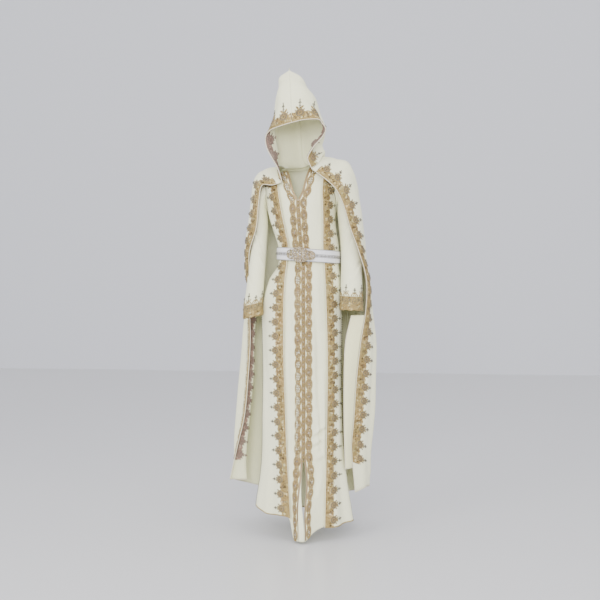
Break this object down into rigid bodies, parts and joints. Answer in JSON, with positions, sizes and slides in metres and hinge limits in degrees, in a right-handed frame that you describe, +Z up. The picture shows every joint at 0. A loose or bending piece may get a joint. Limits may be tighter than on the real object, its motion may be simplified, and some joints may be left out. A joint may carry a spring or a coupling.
{
  "type": "takchita",
  "caption": "Ivory takchita: buttoned inner dress, open embroidered gown, belt with an oval clasp and a pointed-hood cape, in its worn shape.",
  "frame": {"origin": "between the wearer's shoulders, where the garment is held, 1.44 m above the floor it is worn on", "axes": "+Z up the body, -Y out of the garment's front, +X to the wearer's left"},
  "size_m": [0.5813, 0.4455, 1.8132],
  "materials": {
    "ivory_crepe": "matte crepe with a soft sheen",
    "gold_braid": "couched gold metal thread",
    "belt_cloth": "stiff satin with a faint shine",
    "clasp_metal": "polished filigree with clear stones"
  },
  "bodies": {
    "root": {"belt_band": "belt_cloth", "belt_bead_line": "gold_braid", "belt_clasp": "clasp_metal", "button_row": "gold_braid", "cape_back": "ivory_crepe", "cape_band_left": "gold_braid", "cape_band_right": "gold_braid", "cape_front_border": "ivory_crepe", "cape_left": "ivory_crepe", "cape_right": "ivory_crepe", "cuff_left": "gold_braid", "cuff_right": "gold_braid", "dress_back": "ivory_crepe", "dress_front_left": "ivory_crepe", "dress_front_right": "ivory_crepe", "gown_back": "ivory_crepe", "gown_band_left": "gold_braid", "gown_band_right": "gold_braid", "gown_front_left": "ivory_crepe", "gown_front_right": "ivory_crepe", "gown_hem_cord_back": "gold_braid", "gown_hem_cord_left": "gold_braid", "gown_hem_cord_right": "gold_braid", "hood_band_left": "gold_braid", "hood_band_right": "gold_braid", "hood_left": "ivory_crepe", "hood_right": "ivory_crepe", "placket_braid_left": "gold_braid", "placket_braid_right": "gold_braid", "sleeve_left": "ivory_crepe", "sleeve_right": "ivory_crepe", "slit_trim_left": "gold_braid", "slit_trim_right": "gold_braid"}
  },
  "joints": []
}
